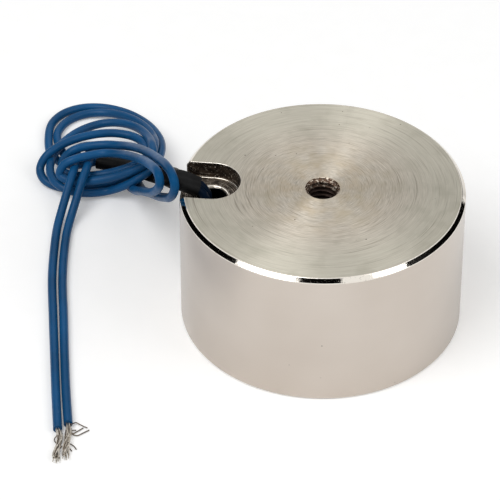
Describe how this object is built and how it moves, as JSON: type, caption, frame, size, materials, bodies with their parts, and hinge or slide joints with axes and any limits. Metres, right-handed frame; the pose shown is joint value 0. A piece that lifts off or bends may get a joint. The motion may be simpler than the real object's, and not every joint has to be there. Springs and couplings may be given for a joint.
{
  "type": "holding electromagnet",
  "caption": "Round pot-type holding electromagnet in nickel-plated steel with a tapped hole and cable slot in its back and sleeved blue leads",
  "frame": {"origin": "centre of the holding face, on the pot's axis", "axes": "+Z along the pot's axis from the holding face to the back, cable slot towards -X"},
  "size_m": [0.0824, 0.1004, 0.0306],
  "materials": {
    "nickel_plated_steel": "Turned low-carbon steel under bright nickel plating, fine concentric tool marks on the back",
    "nylon_bobbin": "Natural glass-filled nylon, as moulded",
    "enamelled_copper": "Enamelled copper magnet wire, glossy",
    "polyester_tape": "Yellow polyester film tape",
    "tinned_copper": "Tinned copper strands and tin solder",
    "black_sleeve": "Black shrink tubing, satin",
    "potting_resin": "Black casting resin, cured with a smooth skin",
    "blue_pvc": "Blue extruded PVC insulation, satin"
  },
  "bodies": {
    "root": {"pot_body": "nickel_plated_steel", "coil_bobbin": "nylon_bobbin", "coil_winding": "enamelled_copper", "winding_tape": "polyester_tape", "winding_end_1": "enamelled_copper", "winding_end_2": "enamelled_copper", "solder_joint_1": "tinned_copper", "solder_joint_2": "tinned_copper", "joint_sleeve_1": "black_sleeve", "joint_sleeve_2": "black_sleeve", "potting_ring": "potting_resin", "lead_wire_1": "blue_pvc", "lead_wire_2": "blue_pvc", "lead_sleeve": "black_sleeve", "lead_coil": "blue_pvc", "bare_strands_1": "tinned_copper", "bare_strands_2": "tinned_copper"}
  },
  "joints": []
}
